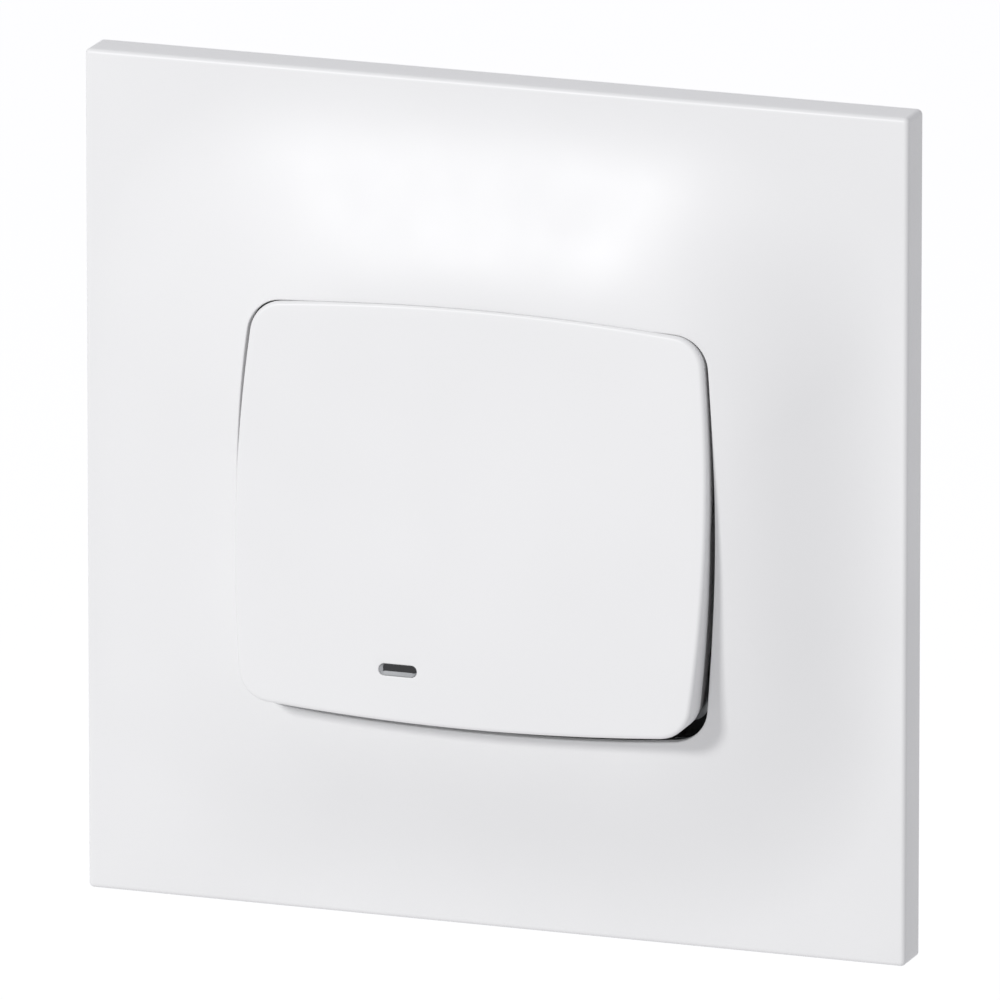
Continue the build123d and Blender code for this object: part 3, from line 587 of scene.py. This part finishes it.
def plate_rings():
    """The plate's skin as one closed loop of rings, from the foot of its edge to its side wall.

    Edge, relief, lip, rim, undercut, collar and the hollow's roof. A round is a quarter circle.
    The relief's corners square off towards the opening's, and behind towards the collar's.
    """
    turns = np.linspace(0, QUARTER, EDGE_RINGS)
    rings = [at_height(ring(PLATE, PLATE, 0, 0, PLATE_CORNER), 0)]
    for turn in turns:
        inset = EDGE_ROUND * (1 - math.cos(turn))
        height = PLATE_EDGE - EDGE_ROUND * (1 - math.sin(turn))
        size = PLATE - 2 * inset
        rings.append(at_height(ring(size, size, 0, 0, PLATE_CORNER - inset), height))
    foot = at_height(ring(*relief_shape(0)), PLATE_EDGE)
    rings += between(rings[-1], foot, MARGIN_RINGS)
    start, span = FACE_SQUARING
    for share in np.linspace(0, 1, RELIEF_RINGS):
        shape = relief_shape(share)
        squarer = max(0.0, (share - start) / span) ** 2
        shape[4] += squarer * (OPENING[4] + LIP_ROUND - shape[4])
        shape[:2] += 2 * LIP_ROUND * share
        outline = ring(*shape) - [0, share * OPENING_DROP]
        rings.append(at_height(outline, relief_height(outline)))
    crest = -rings[-1][:, 1]
    for turn in turns[1:]:
        outline = opening_ring(LIP_ROUND * (1 - math.sin(turn)))
        rings.append(at_height(outline, crest - LIP_ROUND * (1 - math.cos(turn))))
    rim = rings[-1] + [0, RIM_DEPTH, 0]
    hollow, back = opening_ring(UNDERCUT), opening_ring(COLLAR_WALL)
    rings += between(rings[-1], rim, RIM_RINGS) + [rim, at_height(hollow, -rim[:, 1])]
    rings += [at_height(hollow, COLLAR_END), at_height(back, COLLAR_END)]
    rings.append(at_height(back, relief_height(back) - PLATE_WALL))
    start, span = BACK_SQUARING
    for share in np.linspace(start + span, 0, HOLLOW_RINGS):
        shape = relief_shape(share)
        squarer = max(0.0, (share - start) / span)
        shape[4] += squarer * (OPENING[4] + COLLAR_WALL - shape[4])
        shape[:2] -= 2 * CAVITY_INSET * (1 - share)
        outline = ring(*shape)
        rings.append(at_height(outline, relief_height(outline) - PLATE_WALL))
    inside = PLATE - 2 * SIDE_WALL
    wall = ring(inside, inside, 0, 0, PLATE_CORNER)
    return rings + [at_height(wall, PLATE_EDGE - PLATE_WALL), at_height(wall, 0)]


def sleeve(outer, inner, back, front):
    """A closed loop of four rings: an outer and an inner outline, between two heights."""
    corners = [(outer, back), (outer, front), (inner, front), (inner, back)]
    return [at_height(outline, height) for outline, height in corners]


def shade_sleeve_rings():
    """Painted shade: a thin dark sleeve in the collar, from just below the lip's rim to its end."""
    outer, inner = opening_ring(UNDERCUT - SEAT_GAP), opening_ring(UNDERCUT - SHADE_SLEEVE_WALL)
    front = CREST - LIP_ROUND - RIM_DEPTH - CLIP_CLEARANCE
    return sleeve(outer, inner, COLLAR_END + SEAT_GAP, front)


def mask_rings():
    """Painted shade: a flat dark card on the support frame, between the mechanism's case and the
    plate's legs.
    """
    return sleeve(ring(*MASK_OUTSIDE), ring(*MASK_INSIDE), *MASK_HEIGHTS)


def plate_legs():
    """The plate's four clip legs with their hooks, as bars along Z."""
    inner = OPENING[0] / 2 - LEG_INSET
    outer = inner + LEG_THICKNESS
    start = -COLLAR_END - LEG_THICKNESS
    profile = [
        (inner, start),
        (outer, start),
        (outer, CLIP_CLEARANCE),
        (outer + HOOK_LIP, CLIP_CLEARANCE),
        (outer, CLIP_CLEARANCE + HOOK_LENGTH),
        (inner, CLIP_CLEARANCE + HOOK_LENGTH),
    ]
    return [
        prism(profile, lambda x, y, w: (side * x, y, z + w), LEG_WIDTH)
        for side in (-1, 1)
        for z in (-LEG_REACH, LEG_REACH)
    ]


def key_rings():
    """The key's skin as one closed loop of rings, from its skirt to its hollow back.

    Skirt, step, rim, soft edge, crowned face, slot and the hollow. A round is a quarter circle.
    """
    turns = np.linspace(0, QUARTER, KEY_EDGE_RINGS)
    skirt, rim = key_ring(SKIRT_STEP, SKIRT_STEP), key_ring(KEY_FLARE, KEY_FLARE)
    step = rim_depth(rim)
    rings = [at_height(skirt, KEY_FACE - KEY_DEPTH), at_height(skirt, step), at_height(rim, step)]
    for turn in turns:
        inset = KEY_ROUND * (1 - math.cos(turn)) - KEY_FLARE
        outline = key_ring(inset, inset)
        height = KEY_FACE - KEY_CROWN - KEY_ROUND * (1 - math.sin(turn))
        rings.append(at_height(outline, height + crown(outline)))
    slot = slot_ring(SLOT_ROUND)
    edge = key_ring(KEY_ROUND - KEY_FLARE, KEY_ROUND - KEY_FLARE)
    for outline in between(edge, slot, KEY_FACE_RINGS) + [slot]:
        rings.append(at_height(outline, KEY_FACE - KEY_CROWN + crown(outline)))
    for turn in turns[2::2]:
        outline = slot_ring(SLOT_ROUND * (1 - math.sin(turn)))
        drop = KEY_CROWN + SLOT_ROUND * (1 - math.cos(turn))
        rings.append(at_height(outline, KEY_FACE - drop + crown(outline)))
    slot, under = slot_ring(0), KEY_FACE - KEY_WALL
    rings.append(at_height(slot, under))
    inner = key_ring(KEY_SKIRT, KEY_SKIRT / 2)
    for outline in between(slot, inner, KEY_BACK_RINGS) + [inner]:
        rings.append(at_height(outline, under))
    rings.append(at_height(inner, KEY_FACE - KEY_DEPTH))
    return [tilted(r) for r in rings]


def key_legs():
    """The key's two clip legs, as bars along X."""
    top = KEY_FACE - KEY_WALL
    bottom = top - SEAT_GAP - CARRIER_PLATE - CLIP_CLEARANCE
    inner = KEY_CLIP_REACH - KEY_CLIP_THICKNESS / 2
    outer = KEY_CLIP_REACH + KEY_CLIP_THICKNESS / 2
    end = 2 * KEY_CLIP_LIP - bottom
    profile = [
        (-top, inner),
        (-top, outer),
        (-bottom, outer),
        (-bottom, outer + KEY_CLIP_LIP),
        (end, outer),
        (end, inner),
    ]
    bars = [prism(profile, lambda d, z, w: (w, d, side * z), KEY_CLIP_WIDTH) for side in (-1, 1)]
    return [(tilted(points), faces) for points, faces in bars]


def lens_rings():
    """The light guide from its flange behind the key's face to its cushioned front.

    The front rises inwards by a quarter of a sine wave.
    """
    under, front = KEY_FACE - KEY_WALL, KEY_FACE - LENS_RECESS
    depth, margin = LENS_FLANGE
    half = SLOT[1] / 2 - LENS_CLEARANCE
    flange, body = slot_ring(margin), slot_ring(-LENS_CLEARANCE)
    rings = [at_height(flange, under - depth), at_height(flange, under)]
    rings += [at_height(body, under), at_height(body, front - LENS_BULGE)]
    for share in np.linspace(*LENS_SHARES, LENS_RINGS):
        rise = LENS_BULGE * (math.sin(share * QUARTER) - 1)
        rings.append(at_height(slot_ring(-LENS_CLEARANCE - share * half), front + rise))
    return [tilted(r) for r in rings]


def lens_strip():
    """The light guide's pale bevel along the slot's lower edge and left end, a loop of rings.

    Its width is the strip's width times the larger of two shares, which grow from the slot's
    middle downwards and from the centre of its left end outwards, so it tapers away round the
    top and the right end. Its pale grey is painted light on the lower wall and shade on the left
    end.
    """
    outer = slot_ring(-LENS_CLEARANCE)
    inner = slot_ring(-LENS_CLEARANCE - STRIP_WIDTH)
    along, up = (outer - SLOT_PLACE).T
    half = SLOT[1] / 2 - LENS_CLEARANCE
    low_share = -up / half
    end_share = (half - SLOT[0] / 2 - along) / half
    share = np.clip(np.maximum(low_share, end_share), STRIP_TAPER, 1)[:, None]
    inner = outer + share * (inner - outer)
    front = KEY_FACE - LENS_RECESS
    back = front - 2 * STRIP_RISE
    corners = [(outer, back), (outer, front + STRIP_RISE), (inner, front), (inner, back)]
    return [tilted(at_height(outline, height)) for outline, height in corners]


def make_skins(finishes):
    """The plate and the key in fine meshes, in place of their plainer nodes, their trim, and
    painted shade in the key's gap.
    """
    plate = piece("cover_plate_skin", [tube(plate_rings())] + plate_legs(), finishes["white_plate"])
    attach(plate, "mechanism")
    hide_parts("cover_plate")
    # Painted shade: a near-black sleeve and card that darken the gap round the key
    painted_shade = piece("collar_painted_shade_sleeve", [tube(shade_sleeve_rings())], finishes["painted_shade"])
    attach(painted_shade, "mechanism")
    mask = piece("painted_shade_card", [tube(mask_rings())], finishes["painted_shade"])
    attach(mask, "mechanism")
    key = piece("rocker_key_skin", [tube(key_rings())] + key_legs(), finishes["white_key"])
    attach(key, "rocker")
    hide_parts("rocker_key")
    # The light guide's near-black tone is painted shade of the hollow behind it.
    lens = piece("indicator_lens_guide", [plug(lens_rings())], finishes["lens"])
    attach(lens, "rocker")
    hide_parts("indicator_lens")
    # Painted light and shade: a pale grey band along the slot's lower edge and left end.
    strip = piece("indicator_lens_painted_edge", [tube(lens_strip())], finishes["lens_edge"])
    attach(strip, "rocker")


def make_marks(finishes):
    """Raised marks over the terminals on the case's back: L for the common wire, and 1 and 2.

    The letters' own plane is turned to face away from the wall plate: across becomes minus X,
    and up becomes Z.
    """
    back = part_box("mechanism_housing")[1][1]
    for terminal, letter in MARKS.items():
        low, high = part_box(f"wire_guide_{terminal}")
        outline = bpy.data.curves.new(letter, "FONT")
        outline.body = letter
        outline.size = MARK_HEIGHT * MM
        outline.extrude = MARK_RAISE * MM
        outline.align_x = "CENTER"
        written = bpy.data.objects.new(letter, outline)
        mesh = bpy.data.meshes.new_from_object(written)
        flat = np.empty(3 * len(mesh.vertices))
        mesh.vertices.foreach_get("co", flat)
        across, up, out = flat.reshape(-1, 3).T
        middle, foot = (low[0] + high[0]) / 2, high[2] + MARK_GAP * MM
        placed = np.stack([middle - across, back + out, foot + up], 1)
        mesh.vertices.foreach_set("co", placed.ravel())
        mesh.materials.append(finishes["marking"])
        mark = linked(f"terminal_mark_{terminal}", mesh)
        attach(mark, "mechanism")
        bpy.data.objects.remove(written)


# Studio


def seen_directly(tree):
    """1 on rays from the camera and in reflections and refractions, and 0 on rays that light."""
    rays = add(tree, "ShaderNodeLightPath")
    seen = rays.outputs["Is Camera Ray"]
    for kind in ("Is Glossy Ray", "Is Transmission Ray"):
        both = add(tree, "ShaderNodeMath", operation="MAXIMUM")
        tree.links.new(seen, both.inputs[0])
        tree.links.new(rays.outputs[kind], both.inputs[1])
        seen = both.outputs[0]
    return seen


def white_paper(name):
    """Matt white paper that is lifted to plain white where it is seen, and still takes a shadow."""
    material = bpy.data.materials.new(name)
    tree = emptied(material)
    diffuse = add(tree, "ShaderNodeBsdfDiffuse", Color=linear("#F4F4F4"))
    lift = add(tree, "ShaderNodeMath", operation="MULTIPLY")
    tree.links.new(seen_directly(tree), lift.inputs[0])
    lift.inputs[1].default_value = FLOOR_LIFT
    glow = add(tree, "ShaderNodeEmission", {"Strength": lift.outputs[0]}, Color=linear("#FFFFFF"))
    total = add(tree, "ShaderNodeAddShader")
    tree.links.new(diffuse.outputs[0], total.inputs[0])
    tree.links.new(glow.outputs[0], total.inputs[1])
    add(tree, "ShaderNodeOutputMaterial", {"Surface": total.outputs[0]})
    return material


def make_studio():
    """A wide white floor below the switch; the air round it is the backdrop."""
    low, wide = FLOOR_HEIGHT, FLOOR_REACH
    corners = [(-wide, -wide, low), (wide, -wide, low), (wide, wide, low), (-wide, wide, low)]
    mesh = bpy.data.meshes.new("floor")
    mesh.from_pydata(corners, [], [(0, 1, 2, 3)])
    mesh.materials.append(white_paper("white_paper"))
    linked("floor", mesh)


def make_light():
    """Even daylight from all round, and one small soft lamp from the upper left, in front."""
    world = bpy.data.worlds.new("studio_air")
    bpy.context.scene.world = world
    tree = emptied(world)
    strength = add(tree, "ShaderNodeMapRange", {"Value": seen_directly(tree)}, To_Min=AIR_LIGHT)
    sky = {"Strength": strength.outputs[0]}
    air = add(tree, "ShaderNodeBackground", sky, Color=linear("#FBFBFF"))
    add(tree, "ShaderNodeOutputWorld", {"Surface": air.outputs[0]})
    data = bpy.data.lights.new("key_light", "AREA")
    data.size = LAMP_SIZE
    data.energy = LAMP_POWER
    lamp = linked("key_light", data)
    lamp.location = LAMP_PLACE
    lamp.rotation_euler = (-Vector(LAMP_PLACE)).to_track_quat("-Z", "Y").to_euler()


def make_camera():
    """The photograph's long lens, upper right of the switch, aimed at the plate's middle."""
    aim = Vector((0, -PLATE_EDGE * MM, 0))
    level = math.cos(ELEVATION)
    back = Vector((math.sin(AZIMUTH) * level, -math.cos(AZIMUTH) * level, math.sin(ELEVATION)))
    data = bpy.data.cameras.new("photo_camera")
    data.sensor_width = SENSOR_MM
    data.lens = FOCAL_PX / FRAME_PX * SENSOR_MM
    data.shift_x = (FRAME_PX / 2 - AIM_PX[0]) / FRAME_PX
    data.shift_y = (AIM_PX[1] - FRAME_PX / 2) / FRAME_PX
    data.clip_end = FAR_CLIP
    camera = linked("photo_camera", data)
    camera.location = aim + back * DISTANCE
    camera.rotation_euler = (-back).to_track_quat("-Z", "Y").to_euler()
    bpy.context.scene.camera = camera


make_camera()
finishes = dress_frame()
make_skins(finishes)
make_marks(finishes)
make_studio()
make_light()
bpy.context.scene.view_settings.view_transform = "Standard"
